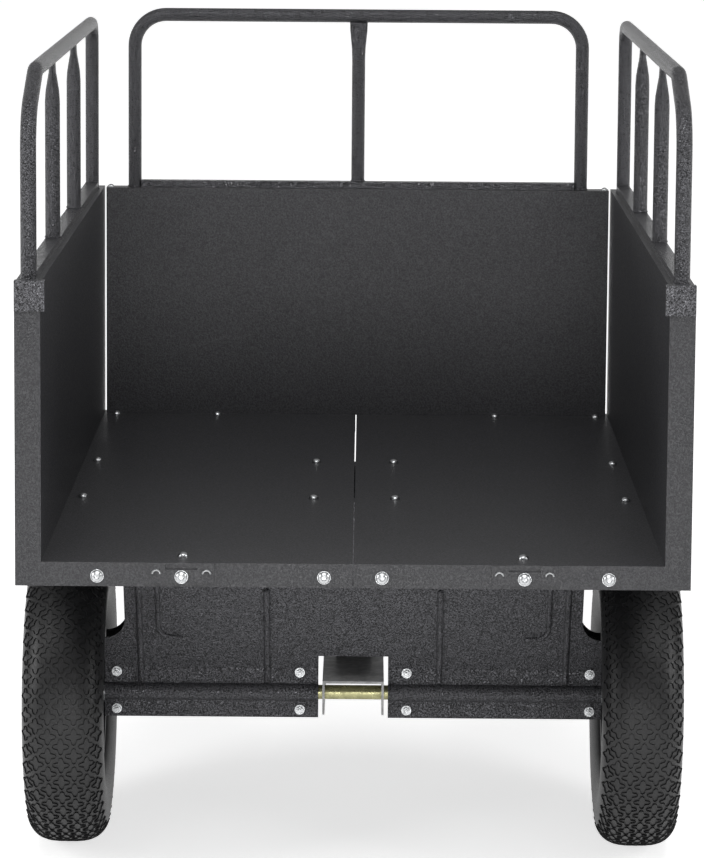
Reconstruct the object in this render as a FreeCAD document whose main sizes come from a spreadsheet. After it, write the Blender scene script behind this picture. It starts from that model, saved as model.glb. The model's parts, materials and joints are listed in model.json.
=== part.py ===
"""Two-wheel steel dump cart: flat bed, three fixed walls with tube rails, tipping on its axle.

The cart is drawn level, in millimetres, with the middle of the axle at the origin: +X is the
cart's right hand, +Y points to the hitch and +Z is up.  Every sub-part then gets the same
parked placement, which lowers the nose until the hitch rests on the ground.
"""
import FreeCAD, Part
import math
import os
import re

import Sketcher
from FreeCAD import Placement, Rotation, Vector

DRIVING_SIZES = [
    # Bed
    ("bed_width", 731.0, "between the side walls"),
    ("bed_length", 1208.0, "rear edge to front wall, inside"),
    ("wall_height", 328.5, "floor to the top of the walls"),
    ("floor_height", 284.0, "top of the floor over the axle"),
    ("rear_overhang", 613.0, "axle to the rear edge"),
    ("floor_gauge", 1.5, "floor sheet"),
    ("wall_gauge", 1.2, "wall sheet"),
    ("flange_width", 30.5, "flanges round each wall"),
    ("lip_depth", 28.5, "skirt turned down round the floor"),
    ("seam_gap", 1.5, "between the two floor pans"),
    ("corner_gap", 3.5, "front wall to side wall"),
    # Rails
    ("tube_diameter", 19.0, "rail tube, outside"),
    ("tube_bore", 16.0, "rail tube, inside"),
    ("bar_height", 10.0, "base bar of a rail"),
    ("bar_width", 18.0, "base bar of a rail"),
    ("side_rail_height", 238.0, "wall top to the middle of the top tube"),
    ("front_rail_height", 248.0, "wall top to the middle of the top tube"),
    ("front_rail_span", 643.0, "between the legs' middles"),
    ("rear_post_inset", 25.0, "rear edge to the rear leg's middle"),
    ("front_post_inset", 25.0, "front wall to the front leg's middle"),
    ("shoulder_run", 113.0, "length of the sloping shoulder"),
    ("shoulder_rise", 47.0, "rise of the sloping shoulder"),
    ("shoulder_bend", 60.0, "bend radius at the shoulder"),
    ("side_bend", 30.0, "bend radius at the front leg"),
    ("front_bend", 45.0, "bend radius of the front rail"),
    # Corner caps and tailgate catches
    ("cap_height", 33.0, "corner cap down the wall's end"),
    ("cap_wrap", 5.0, "corner cap round the wall's inner edge"),
    ("cap_gauge", 2.5, "corner cap plate"),
    ("catch_spacing", 402.0, "between the two catches"),
    ("catch_width", 77.0, "catch plate"),
    ("catch_height", 24.0, "catch plate"),
    ("catch_gauge", 2.5, "catch plate"),
    ("catch_slot_width", 38.0, "slot for the tailgate's tab"),
    ("catch_slot_depth", 7.5, "slot for the tailgate's tab"),
    # Undercarriage
    ("cross_rail_spacing", 298.0, "between the two cross rails"),
    ("cross_rail_width", 40.0, "cross rail tube"),
    ("cross_rail_height", 25.0, "cross rail tube"),
    ("cross_rail_wall", 2.0, "cross rail tube"),
    ("cross_rail_length", 724.0, "cross rail tube"),
    ("panel_gauge", 2.0, "axle panel sheet"),
    ("panel_top_width", 600.0, "axle panel above the tyre arches"),
    ("panel_foot_width", 656.0, "axle panel at the axle"),
    ("arch_radius", 27.0, "hollow corner beside the tyre"),
    ("arch_foot", 77.0, "lower end of the hollow corner"),
    ("panel_crease", 32.0, "where the two panels part"),
    ("panel_foot", 34.0, "panel edge under the axle"),
    ("panel_flange", 40.0, "flange under the cross rail"),
    ("notch_width", 92.0, "opening for the pivot channel"),
    ("notch_top", 51.0, "opening for the pivot channel"),
    # Axle and wheels
    ("axle_diameter", 19.0, "solid axle"),
    ("running_clearance", 0.05, "radial, axle to what turns on it"),
    ("seat_clearance", 0.1, "radial, axle to its cradle"),
    ("end_play", 0.5, "hub to spacer and washer"),
    ("wheel_track", 747.0, "between the wheels' middles"),
    ("tyre_radius", 203.2, "16 inch tyre"),
    ("tyre_width", 105.0, "widest part of the tyre"),
    ("tread_width", 82.0, "crown of the tyre"),
    ("crown_drop", 9.0, "crown to the tread's edge"),
    ("sidewall_swell", 155.0, "radius where the tyre is widest"),
    ("rim_seat_radius", 101.6, "8 inch rim"),
    ("rim_flange_height", 12.0, "rim edge over the bead seat"),
    ("rim_width", 76.0, "between the rim flanges"),
    ("rim_gauge", 2.5, "rim sheet"),
    ("rim_well_depth", 12.0, "drop centre of the rim"),
    ("tyre_wall", 8.0, "tyre carcass"),
    ("hub_diameter", 42.0, "hub barrel"),
    ("hub_length", 74.0, "hub barrel"),
    ("spacer_diameter", 30.0, "axle spacer and washer"),
    ("washer_thickness", 3.0, "outer axle washer"),
    ("axle_end", 9.0, "axle past the outer washer"),
    # Drawbar
    ("channel_width", 81.0, "pivot channel, outside"),
    ("channel_gauge", 3.0, "pivot channel sheet"),
    ("channel_top", 19.0, "top of the channel over the axle"),
    ("channel_foot", 26.0, "channel's edge under the axle"),
    ("channel_tail", 22.0, "channel behind the axle"),
    ("channel_reach", 330.0, "channel ahead of the axle"),
    ("drawbar_size", 50.0, "square drawbar tube"),
    ("drawbar_wall", 3.0, "square drawbar tube"),
    ("drawbar_start", 160.0, "rear end of the tube"),
    ("hitch_reach", 1320.0, "axle to the hitch hole"),
    ("hitch_nose", 25.0, "hitch hole to the clevis's end"),
    ("hitch_throat", 51.0, "hitch hole to the clevis's web"),
    ("hitch_plate", 6.0, "clevis plate"),
    ("hitch_hole", 17.0, "hitch hole's diameter"),
    # Bed stop and latch
    ("stop_reach", 500.0, "axle to the middle of the bed stop"),
    ("stop_depth", 40.0, "bed stop along the cart"),
    ("stop_width", 66.0, "bed stop across the cart"),
    ("stop_gauge", 3.0, "bed stop strap"),
    ("stop_flange", 25.0, "bed stop's flanges under the floor"),
    ("stop_play", 0.3, "bed stop over the drawbar"),
    ("striker_diameter", 10.0, "striker rod in the bed stop"),
    ("striker_height", 28.0, "striker rod over the drawbar"),
    ("ear_spacing", 10.0, "between the latch ears"),
    ("ear_gauge", 4.0, "latch ear plate"),
    ("latch_reach", 585.0, "axle to the latch pin"),
    ("latch_height", 30.0, "latch pin over the drawbar"),
    ("latch_pin_diameter", 8.0, "latch pin"),
    ("lever_gauge", 6.0, "latch lever plate"),
]

document = FreeCAD.newDocument("DumpCart")
sheet = document.addObject("Spreadsheet::Sheet", "Sizes")
for row_number, (alias, number, meaning) in enumerate(DRIVING_SIZES, start=1):
    sheet.set(f"A{row_number}", meaning)
    sheet.set(f"B{row_number}", str(number))
    sheet.setAlias(f"B{row_number}", alias)
document.recompute()

ALIASES = {alias for alias, _, _ in DRIVING_SIZES}
PLANE_AXIS = {"XY_Plane": 1, "XZ_Plane": -1, "YZ_Plane": 1}
sub_parts = []


# ---------------------------------------------------------------- working with the sheet
def on_sheet(formula):
    """Put the sheet's name before each alias in a formula."""
    return re.sub(r"[a-z_]+", lambda m: f"Sizes.{m[0]}" if m[0] in ALIASES else m[0], formula)


def value(formula):
    """The formula's number now."""
    return float(sheet.evalExpression(on_sheet(formula)))


def bind(thing, prop, formula):
    thing.setExpression(prop, on_sheet(formula))


def parked_placement():
    """Nose-down turn about the axle that sets the hitch on the ground under round tyres."""
    tip_reach = value("hitch_reach + hitch_nose")
    tip_height = value("channel_top")
    slope = math.atan2(tip_height, tip_reach)
    turn = slope + math.asin(value("tyre_radius") / math.hypot(tip_reach, tip_height))
    nose_down = Rotation(Vector(1, 0, 0), -math.degrees(turn))
    nose = nose_down.multVec(Vector(0, tip_reach, tip_height + value("drawbar_size"))).y
    tail = nose_down.multVec(Vector(0, -value("rear_overhang + cap_gauge"), value("floor_height - lip_depth"))).y
    return Placement(Vector(0, -(nose + tail) / 2, value("tyre_radius")), nose_down)


PARKED = parked_placement()


# ---------------------------------------------------------------- sketches and features
def new_body(label):
    body = document.addObject("PartDesign::Body", label)
    body.Label = label
    sub_parts.append(body)
    return body


def new_sketch(body, plane, start):
    """Sketch on one of the body's planes, moved along X, Y or Z to start."""
    sketch = body.newObject("Sketcher::SketchObject", "Sketch")
    origin_plane = next(f for f in body.Origin.OriginFeatures if f.Role == plane)
    sketch.AttachmentSupport = [(origin_plane, "")]
    sketch.MapMode = "FlatFace"
    bind(sketch, "AttachmentOffset.Base.z", f"{PLANE_AXIS[plane]} * ({start})")
    return sketch


def fix_point(sketch, geometry, point, across, up):
    """Hold a point of the sketch at two sheet formulas."""
    for kind, formula in (("DistanceX", across), ("DistanceY", up)):
        index = sketch.addConstraint(
            Sketcher.Constraint(kind, -1, 1, geometry, point, value(formula))
        )
        bind(sketch, f"Constraints[{index}]", formula)


def fix_radius(sketch, geometry, formula):
    index = sketch.addConstraint(Sketcher.Constraint("Radius", geometry, value(formula)))
    bind(sketch, f"Constraints[{index}]", formula)


def arc_between(first, second, radius):
    """Arc of under half a turn; a positive radius turns left on the way."""
    middle = (first + second) / 2
    chord = second - first
    left = Vector(-chord.y, chord.x, 0).normalize()
    rise = math.sqrt(radius**2 - (chord.Length / 2) ** 2)
    centre = middle + left * math.copysign(rise, radius)
    ends = (first, second) if radius > 0 else (second, first)
    angles = [math.atan2(p.y - centre.y, p.x - centre.x) for p in ends]
    return Part.ArcOfCircle(Part.Circle(centre, Vector(0, 0, 1), abs(radius)), *angles)


def draw_outline(sketch, corners):
    """Closed outline of corners (across, up) or (across, up, radius of the arc that follows)."""
    points = [Vector(value(c[0]), value(c[1]), 0) for c in corners]
    ends = []
    for number, corner in enumerate(corners):
        first = points[number]
        second = points[(number + 1) % len(points)]
        if len(corner) == 2:
            geometry = sketch.addGeometry(Part.LineSegment(first, second))
            ends.append((geometry, 1, 2))
        else:
            radius = value(corner[2])
            geometry = sketch.addGeometry(arc_between(first, second, radius))
            fix_radius(sketch, geometry, f"abs({corner[2]})")
            ends.append((geometry, 1, 2) if radius > 0 else (geometry, 2, 1))
        fix_point(sketch, geometry, ends[-1][1], corner[0], corner[1])
    for number, (geometry, _, last) in enumerate(ends):
        following, start, _ = ends[(number + 1) % len(ends)]
        sketch.addConstraint(Sketcher.Constraint("Coincident", geometry, last, following, start))


def draw_circle(sketch, across, up, radius):
    centre = Vector(value(across), value(up), 0)
    geometry = sketch.addGeometry(Part.Circle(centre, Vector(0, 0, 1), value(radius)))
    fix_point(sketch, geometry, 3, across, up)
    fix_radius(sketch, geometry, radius)


def draw_bent_path(sketch, corners):
    """Open path of straight runs; a corner (across, up, radius) is bent to that radius."""
    points = [Vector(value(c[0]), value(c[1]), 0) for c in corners]
    starts = [points[0]]
    stops = []
    bends = []
    for number in range(1, len(points) - 1):
        before = (points[number - 1] - points[number]).normalize()
        after = (points[number + 1] - points[number]).normalize()
        radius = value(corners[number][2])
        setback = radius / math.tan(before.getAngle(after) / 2)
        enter = points[number] + before * setback
        leave = points[number] + after * setback
        turn_left = before.cross(after).z < 0
        bends.append((enter, leave, radius if turn_left else -radius))
        stops.append(enter)
        starts.append(leave)
    stops.append(points[-1])
    runs = [sketch.addGeometry(Part.LineSegment(a, b)) for a, b in zip(starts, stops)]
    fix_point(sketch, runs[0], 1, corners[0][0], corners[0][1])
    fix_point(sketch, runs[-1], 2, corners[-1][0], corners[-1][1])
    for number, (enter, leave, radius) in enumerate(bends):
        corner = corners[number + 1]
        arc = sketch.addGeometry(arc_between(enter, leave, radius))
        first, last = (1, 2) if radius > 0 else (2, 1)
        sketch.addConstraint(Sketcher.Constraint("Tangent", runs[number], 2, arc, first))
        sketch.addConstraint(Sketcher.Constraint("Tangent", arc, last, runs[number + 1], 1))
        fix_radius(sketch, arc, corner[2])
        vertex = sketch.addGeometry(Part.Point(points[number + 1]), True)
        fix_point(sketch, vertex, 1, corner[0], corner[1])
        sketch.addConstraint(Sketcher.Constraint("PointOnObject", vertex, 1, runs[number]))
        sketch.addConstraint(Sketcher.Constraint("PointOnObject", vertex, 1, runs[number + 1]))


def extrude(body, kind, sketch, length):
    """Pad or Pocket along the sketch's normal."""
    feature = body.newObject(f"PartDesign::{kind}", kind)
    feature.Profile = sketch
    bind(feature, "Length", length)
    feature.Reversed = kind == "Pocket"
    sketch.Visibility = False
    body.Tip = feature
    return feature


def pad(body, plane, start, length, corners):
    sketch = new_sketch(body, plane, start)
    draw_outline(sketch, corners)
    return extrude(body, "Pad", sketch, length)


def pocket(body, plane, start, length, corners):
    sketch = new_sketch(body, plane, start)
    draw_outline(sketch, corners)
    return extrude(body, "Pocket", sketch, length)


def drill(body, plane, start, length, across, up, radius):
    sketch = new_sketch(body, plane, start)
    draw_circle(sketch, across, up, radius)
    return extrude(body, "Pocket", sketch, length)


def box_corners(left, right, low, high):
    return [(left, low), (right, low), (right, high), (left, high)]


def round_bar(label, diameter, start, length, along, across, up):
    """Plain round bar: a pad along X or Z."""
    body = new_body(label)
    sketch = new_sketch(body, along, start)
    draw_circle(sketch, across, up, f"({diameter}) / 2")
    extrude(body, "Pad", sketch, length)
    return body


def bent_tube(label, plane, start, path, foot):
    """Rail tube swept along a bent path that starts at foot (x, y, z)."""
    body = new_body(label)
    spine = new_sketch(body, plane, start)
    draw_bent_path(spine, path)
    section = new_sketch(body, "XY_Plane", foot[2])
    draw_circle(section, foot[0], foot[1], "tube_diameter / 2")
    draw_circle(section, foot[0], foot[1], "tube_bore / 2")
    pipe = body.newObject("PartDesign::AdditivePipe", "Pipe")
    pipe.Profile = section
    pipe.Spine = spine
    body.Tip = pipe
    return body


# ---------------------------------------------------------------- bed
HALF_BED = "bed_width / 2"
HALF_OUTSIDE = "(bed_width / 2 + flange_width)"
REAR = "-rear_overhang"
FRONT = "(bed_length - rear_overhang)"
NOSE = "(bed_length - rear_overhang + flange_width)"
WALL_TOP = "(floor_height + wall_height)"
PAN_BOTTOM = "floor_height - lip_depth"
SIDES = (("left", "-1"), ("right", "1"))


def floor_pan(side, sign):
    """Half of the floor, with a skirt turned down at the rear, the front and the outer side."""
    body = new_body(f"floor_{side}")
    seam = f"{sign} * seam_gap / 2"
    edge = f"{sign} * {HALF_OUTSIDE}"
    pad(body, "XY_Plane", PAN_BOTTOM, "lip_depth", box_corners(seam, edge, REAR, NOSE))
    skirt_face = f"{sign} * ({HALF_OUTSIDE} - floor_gauge)"
    hollow = box_corners(
        f"-{sign} * seam_gap", skirt_face, f"{REAR} + floor_gauge", f"{NOSE} - floor_gauge"
    )
    pocket(body, "XY_Plane", PAN_BOTTOM, "lip_depth - floor_gauge", hollow)


def side_wall(side, sign):
    """Side wall: a sheet with flanges turned outward on all four edges."""
    body = new_body(f"{side}_wall")
    inner = f"{sign} * {HALF_BED}"
    outer = f"{sign} * {HALF_OUTSIDE}"
    pad(body, "XY_Plane", "floor_height", "wall_height", box_corners(inner, outer, REAR, NOSE))
    hollow = box_corners(
        f"{sign} * ({HALF_BED} + wall_gauge)",
        f"{sign} * ({HALF_OUTSIDE} + wall_gauge)",
        f"{REAR} + wall_gauge",
        f"{NOSE} - wall_gauge",
    )
    pocket(body, "XY_Plane", "floor_height + wall_gauge", "wall_height - 2 * wall_gauge", hollow)


def front_wall():
    """Front wall between the side walls, with its flanges turned forward."""
    body = new_body("front_wall")
    half = f"({HALF_BED} - corner_gap)"
    pad(body, "XY_Plane", "floor_height", "wall_height", box_corners(f"-{half}", half, FRONT, NOSE))
    inside = f"({half} - wall_gauge)"
    hollow = box_corners(
        f"-{inside}", inside, f"{FRONT} + wall_gauge", f"{NOSE} + wall_gauge"
    )
    pocket(body, "XY_Plane", "floor_height + wall_gauge", "wall_height - 2 * wall_gauge", hollow)


# ---------------------------------------------------------------- rails
REAR_POST = "(rear_post_inset - rear_overhang)"
FRONT_POST = "(bed_length - rear_overhang - front_post_inset)"
POST_PITCH = "((bed_length - rear_post_inset - front_post_inset) / 3)"
SIDE_RAIL = "(bed_width / 2 + flange_width / 2)"
FRONT_RAIL = "(bed_length - rear_overhang + flange_width / 2)"


def side_rail(side, sign):
    """Rail along a side wall: a bent tube, a base bar and two inner posts."""
    middle = f"{sign} * {SIDE_RAIL}"
    top = f"{WALL_TOP} + side_rail_height"
    path = [
        (REAR_POST, WALL_TOP),
        (REAR_POST, f"{top} - shoulder_rise", "shoulder_bend"),
        (f"{REAR_POST} + shoulder_run", top, "shoulder_bend"),
        (FRONT_POST, top, "side_bend"),
        (FRONT_POST, WALL_TOP),
    ]
    bent_tube(f"{side}_rail_hoop", "YZ_Plane", middle, path, (middle, REAR_POST, WALL_TOP))
    bar = new_body(f"{side}_rail_bar")
    corners = box_corners(
        f"{middle} - bar_width / 2",
        f"{middle} + bar_width / 2",
        f"{REAR_POST} + tube_diameter / 2",
        f"{FRONT_POST} - tube_diameter / 2",
    )
    pad(bar, "XY_Plane", WALL_TOP, "bar_height", corners)
    for name, pitches in (("rear", 1), ("front", 2)):
        round_bar(
            f"{side}_rail_{name}_post",
            "tube_diameter",
            f"{WALL_TOP} + bar_height",
            "side_rail_height - bar_height - tube_diameter / 2",
            "XY_Plane",
            middle,
            f"{REAR_POST} + {pitches} * {POST_PITCH}",
        )


def front_rail():
    """Rail on the front wall: a square hoop, a base bar and one middle post."""
    top = f"{WALL_TOP} + front_rail_height"
    left_leg = "-front_rail_span / 2"
    right_leg = "front_rail_span / 2"
    path = [
        (left_leg, WALL_TOP),
        (left_leg, top, "front_bend"),
        (right_leg, top, "front_bend"),
        (right_leg, WALL_TOP),
    ]
    bent_tube("front_rail_hoop", "XZ_Plane", FRONT_RAIL, path, (left_leg, FRONT_RAIL, WALL_TOP))
    bar = new_body("front_rail_bar")
    corners = box_corners(
        f"{left_leg} + tube_diameter / 2",
        f"{right_leg} - tube_diameter / 2",
        f"{FRONT_RAIL} - bar_width / 2",
        f"{FRONT_RAIL} + bar_width / 2",
    )
    pad(bar, "XY_Plane", WALL_TOP, "bar_height", corners)
    round_bar(
        "front_rail_post",
        "tube_diameter",
        f"{WALL_TOP} + bar_height",
        "front_rail_height - bar_height - tube_diameter / 2",
        "XY_Plane",
        "0",
        FRONT_RAIL,
    )


# ---------------------------------------------------------------- caps and catches
def corner_cap(side, sign):
    """Plate cap on the rear end of a wall's top flange."""
    body = new_body(f"{side}_rear_cap")
    inner = f"{sign} * ({HALF_BED} - cap_wrap)"
    outer = f"{sign} * {HALF_OUTSIDE}"
    face = f"{REAR} - cap_gauge"
    low = f"{WALL_TOP} - cap_height"
    height = "cap_height + cap_gauge"
    pad(body, "XY_Plane", low, height, box_corners(inner, outer, face, REAR))
    lid = box_corners(inner, outer, REAR, f"{REAR_POST} - tube_diameter / 2 - cap_gauge")
    pad(body, "XY_Plane", WALL_TOP, "cap_gauge", lid)


def gate_catch(side, sign):
    """Slotted plate on the rear lip that takes a tab of the tailgate."""
    body = new_body(f"{side}_gate_catch")
    middle = f"{sign} * catch_spacing / 2"
    low = "floor_height - catch_height"
    face = box_corners(
        f"{middle} - catch_width / 2", f"{middle} + catch_width / 2", low, "floor_height"
    )
    pad(body, "XZ_Plane", REAR, "catch_gauge", face)
    slot = box_corners(
        f"{middle} - catch_slot_width / 2",
        f"{middle} + catch_slot_width / 2",
        "floor_height - catch_slot_depth",
        "floor_height + catch_gauge",
    )
    pocket(body, "XZ_Plane", REAR, "catch_gauge", slot)


# ---------------------------------------------------------------- undercarriage
RAIL_BOTTOM = "(floor_height - floor_gauge - cross_rail_height)"


def cross_rail(end, sign):
    """Square tube under the floor, above one axle panel."""
    body = new_body(f"{end}_cross_rail")
    middle = f"{sign} * cross_rail_spacing / 2"
    half = "cross_rail_width / 2"
    start = "-cross_rail_length / 2"
    outside = box_corners(
        f"{middle} - {half}", f"{middle} + {half}", RAIL_BOTTOM, "floor_height - floor_gauge"
    )
    pad(body, "YZ_Plane", start, "cross_rail_length", outside)
    bore = box_corners(
        f"{middle} - {half} + cross_rail_wall",
        f"{middle} + {half} - cross_rail_wall",
        f"{RAIL_BOTTOM} + cross_rail_wall",
        "floor_height - floor_gauge - cross_rail_wall",
    )
    pocket(body, "YZ_Plane", start, "cross_rail_length", bore)


def axle_panel(end, sign):
    """Pressed panel: a flat foot round the axle, a sloping web and a flange under the bed."""
    body = new_body(f"{end}_axle_panel")
    cradle = "(axle_diameter / 2 + seat_clearance)"
    skin = f"({cradle} + panel_gauge)"
    skin_edge = f"sqrt({skin} * {skin} - panel_gauge * panel_gauge)"
    knee = "(cross_rail_spacing / 2 - panel_flange / 2)"
    turn = "-1" if sign == "-1" else "1"
    profile = [
        ("0", "-panel_foot"),
        ("0", f"-{cradle}", f"{turn} * {cradle}"),
        (f"{sign} * {cradle}", "0", f"{turn} * {cradle}"),
        ("0", cradle),
        ("0", "panel_crease"),
        (f"{sign} * {knee}", RAIL_BOTTOM),
        (f"{sign} * ({knee} + panel_flange)", RAIL_BOTTOM),
        (f"{sign} * ({knee} + panel_flange)", f"{RAIL_BOTTOM} - panel_gauge"),
        (f"{sign} * ({knee} + panel_gauge)", f"{RAIL_BOTTOM} - panel_gauge"),
        (f"{sign} * panel_gauge", "panel_crease"),
        (f"{sign} * panel_gauge", skin_edge, f"-{turn} * {skin}"),
        (f"{sign} * {skin}", "0", f"-{turn} * {skin}"),
        (f"{sign} * panel_gauge", f"-{skin_edge}"),
        (f"{sign} * panel_gauge", "-panel_foot"),
    ]
    pad(body, "YZ_Plane", "-panel_foot_width / 2", "panel_foot_width", profile)
    reach = f"({knee} + panel_flange + panel_gauge)"
    for hand in ("-1", "1"):
        edge = f"{hand} * panel_top_width / 2"
        beyond = f"{hand} * (panel_foot_width / 2 + panel_gauge)"
        foot = f"{hand} * (panel_top_width / 2 + arch_radius)"
        arch = [
            (edge, f"{RAIL_BOTTOM} + panel_gauge"),
            (edge, "arch_foot + arch_radius", f"{hand} * arch_radius"),
            (foot, "arch_foot"),
            (beyond, "arch_foot"),
            (beyond, f"{RAIL_BOTTOM} + panel_gauge"),
        ]
        pocket(body, "XZ_Plane", reach, f"2 * {reach}", arch)
    notch = box_corners("-notch_width / 2", "notch_width / 2", "-panel_foot - panel_gauge", "notch_top")
    pocket(body, "XZ_Plane", reach, f"2 * {reach}", notch)


# ---------------------------------------------------------------- axle and wheels
HUB_OUTER = "(wheel_track / 2 + hub_length / 2)"
HUB_INNER = "(wheel_track / 2 - hub_length / 2)"
AXLE_HALF = f"({HUB_OUTER} + end_play + washer_thickness + axle_end)"


def ring(label, sign, inner_end, length, diameter, bore):
    """Round collar on the axle, from inner_end outward."""
    body = new_body(label)
    start = inner_end if sign == "1" else f"-({inner_end}) - ({length})"
    sketch = new_sketch(body, "YZ_Plane", start)
    draw_circle(sketch, "0", "0", f"({diameter}) / 2")
    draw_circle(sketch, "0", "0", bore)
    extrude(body, "Pad", sketch, length)
    return body


def revolve_about_axle(label, sketch_corners, centre):
    """Full turn about X of an outline in (distance from the wheel's middle, radius)."""
    body = new_body(label)
    sketch = new_sketch(body, "XZ_Plane", "0")
    corners = [(f"{centre} + {c[0]}", *c[1:]) for c in sketch_corners]
    draw_outline(sketch, corners)
    turned = body.newObject("PartDesign::Revolution", "Revolution")
    turned.Profile = sketch
    turned.ReferenceAxis = (sketch, ["H_Axis"])
    turned.Angle = 360
    body.Tip = turned
    return body


def tyre(side, centre):
    """Tyre carcass: crowned tread, swelling sidewalls and beads that sit on the rim."""
    half = "tyre_width / 2"
    tread = "tread_width / 2"
    shoulder = "(tyre_radius - crown_drop)"
    bead = "rim_width / 2"
    lining = "(tyre_width / 2 - tyre_wall)"
    crown_bend = "(tread_width * tread_width / 8 / crown_drop + crown_drop / 2)"
    wall_rise = f"({shoulder} - sidewall_swell)"
    wall_step = f"({half} - {tread})"
    upper_bend = f"(({wall_rise} * {wall_rise} + {wall_step} * {wall_step}) / 2 / {wall_step})"
    bead_step = f"({half} - {bead})"
    bead_top = "(rim_seat_radius + rim_flange_height)"
    fall = "(sidewall_swell - rim_seat_radius - rim_flange_height)"
    lower_bend = f"(({fall} * {fall} + {bead_step} * {bead_step}) / 2 / {bead_step})"
    outline = [
        (f"-{bead}", "rim_seat_radius"),
        (f"-{bead}", bead_top, f"-{lower_bend}"),
        (f"-{half}", "sidewall_swell", f"-{upper_bend}"),
        (f"-{tread}", shoulder, f"-{crown_bend}"),
        (tread, shoulder, f"-{upper_bend}"),
        (half, "sidewall_swell", f"-{lower_bend}"),
        (bead, bead_top),
        (bead, "rim_seat_radius"),
        (f"({bead} - tyre_wall)", "rim_seat_radius"),
        (lining, "sidewall_swell"),
        (f"({tread} - tyre_wall)", f"{shoulder} - tyre_wall"),
        (f"-({tread} - tyre_wall)", f"{shoulder} - tyre_wall"),
        (f"-{lining}", "sidewall_swell"),
        (f"-({bead} - tyre_wall)", "rim_seat_radius"),
    ]
    revolve_about_axle(f"{side}_tyre", outline, centre)


def rim(side, centre):
    """Pressed rim: two bead seats, a drop centre and a flat disc."""
    half = "rim_width / 2"
    seat = "rim_seat_radius"
    lip = f"({seat} + rim_flange_height)"
    well = f"({seat} - rim_well_depth)"
    well_half = "rim_width / 4"
    disc = "rim_gauge / 2"
    outline = [
        (f"-{half} - rim_gauge", lip),
        (f"-{half} - rim_gauge", f"{seat} - rim_gauge"),
        (f"-{well_half} - rim_gauge", f"{seat} - rim_gauge"),
        (f"-{well_half} - rim_gauge", f"{well} - rim_gauge"),
        (f"-{disc}", f"{well} - rim_gauge"),
        (f"-{disc}", "hub_diameter / 2 + seat_clearance"),
        (disc, "hub_diameter / 2 + seat_clearance"),
        (disc, f"{well} - rim_gauge"),
        (f"{well_half} + rim_gauge", f"{well} - rim_gauge"),
        (f"{well_half} + rim_gauge", f"{seat} - rim_gauge"),
        (f"{half} + rim_gauge", f"{seat} - rim_gauge"),
        (f"{half} + rim_gauge", lip),
        (half, lip),
        (half, seat),
        (well_half, seat),
        (well_half, well),
        (f"-{well_half}", well),
        (f"-{well_half}", seat),
        (f"-{half}", seat),
        (f"-{half}", lip),
    ]
    revolve_about_axle(f"{side}_rim", outline, centre)


def wheel(side, sign):
    """Tyre, rim and hub, with the spacer and washer that keep them on the axle."""
    centre = f"{sign} * wheel_track / 2"
    tyre(side, centre)
    rim(side, centre)
    turning_bore = "axle_diameter / 2 + running_clearance"
    ring(f"{side}_hub", sign, HUB_INNER, "hub_length", "hub_diameter", turning_bore)
    spacer_start = "panel_foot_width / 2 + seat_clearance"
    spacer_length = f"{HUB_INNER} - end_play - ({spacer_start})"
    fixed_bore = "axle_diameter / 2 + running_clearance"
    ring(f"{side}_axle_spacer", sign, spacer_start, spacer_length, "spacer_diameter", fixed_bore)
    washer_start = f"{HUB_OUTER} + end_play"
    ring(
        f"{side}_axle_washer", sign, washer_start, "washer_thickness", "spacer_diameter", fixed_bore
    )


# ---------------------------------------------------------------- drawbar
DRAWBAR_TOP = "(channel_top + drawbar_size)"
CLEVIS_REAR = "(hitch_reach - hitch_throat - hitch_plate)"


def pivot_channel():
    """Upturned channel whose cheeks turn on the axle."""
    body = new_body("pivot_channel")
    length = "channel_tail + channel_reach"
    outside = box_corners("-channel_width / 2", "channel_width / 2", "-channel_foot", "channel_top")
    pad(body, "XZ_Plane", "channel_reach", length, outside)
    inner = "(channel_width / 2 - channel_gauge)"
    hollow = box_corners(
        f"-{inner}", inner, "-channel_foot - channel_gauge", "channel_top - channel_gauge"
    )
    pocket(body, "XZ_Plane", "channel_reach", length, hollow)
    bore = "axle_diameter / 2 + running_clearance"
    drill(body, "YZ_Plane", "-channel_width", "2 * channel_width", "0", "0", bore)


def drawbar_tube():
    body = new_body("drawbar_tube")
    half = "drawbar_size / 2"
    length = f"{CLEVIS_REAR} - drawbar_start"
    pad(body, "XZ_Plane", CLEVIS_REAR, length, box_corners(f"-{half}", half, "channel_top", DRAWBAR_TOP))
    inner = "(drawbar_size / 2 - drawbar_wall)"
    bore = box_corners(
        f"-{inner}", inner, "channel_top + drawbar_wall", f"{DRAWBAR_TOP} - drawbar_wall"
    )
    pocket(body, "XZ_Plane", CLEVIS_REAR, length, bore)


def hitch_clevis():
    """Two plates and a web, with one upright hole and a rounded nose."""
    body = new_body("hitch_clevis")
    nose = "hitch_reach"
    half = "drawbar_size / 2"
    plan = [
        (f"-{half}", CLEVIS_REAR),
        (half, CLEVIS_REAR),
        (half, nose, "hitch_nose"),
        ("0", "hitch_reach + hitch_nose", "hitch_nose"),
        (f"-{half}", nose),
    ]
    pad(body, "XY_Plane", "channel_top", "drawbar_size", plan)
    jaw = box_corners(
        f"{CLEVIS_REAR} + hitch_plate",
        "hitch_reach + 2 * hitch_nose",
        "channel_top + hitch_plate",
        f"{DRAWBAR_TOP} - hitch_plate",
    )
    pocket(body, "YZ_Plane", "-drawbar_size", "2 * drawbar_size", jaw)
    drill(body, "XY_Plane", "0", "2 * drawbar_size", "0", "hitch_reach", "hitch_hole / 2")


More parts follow.
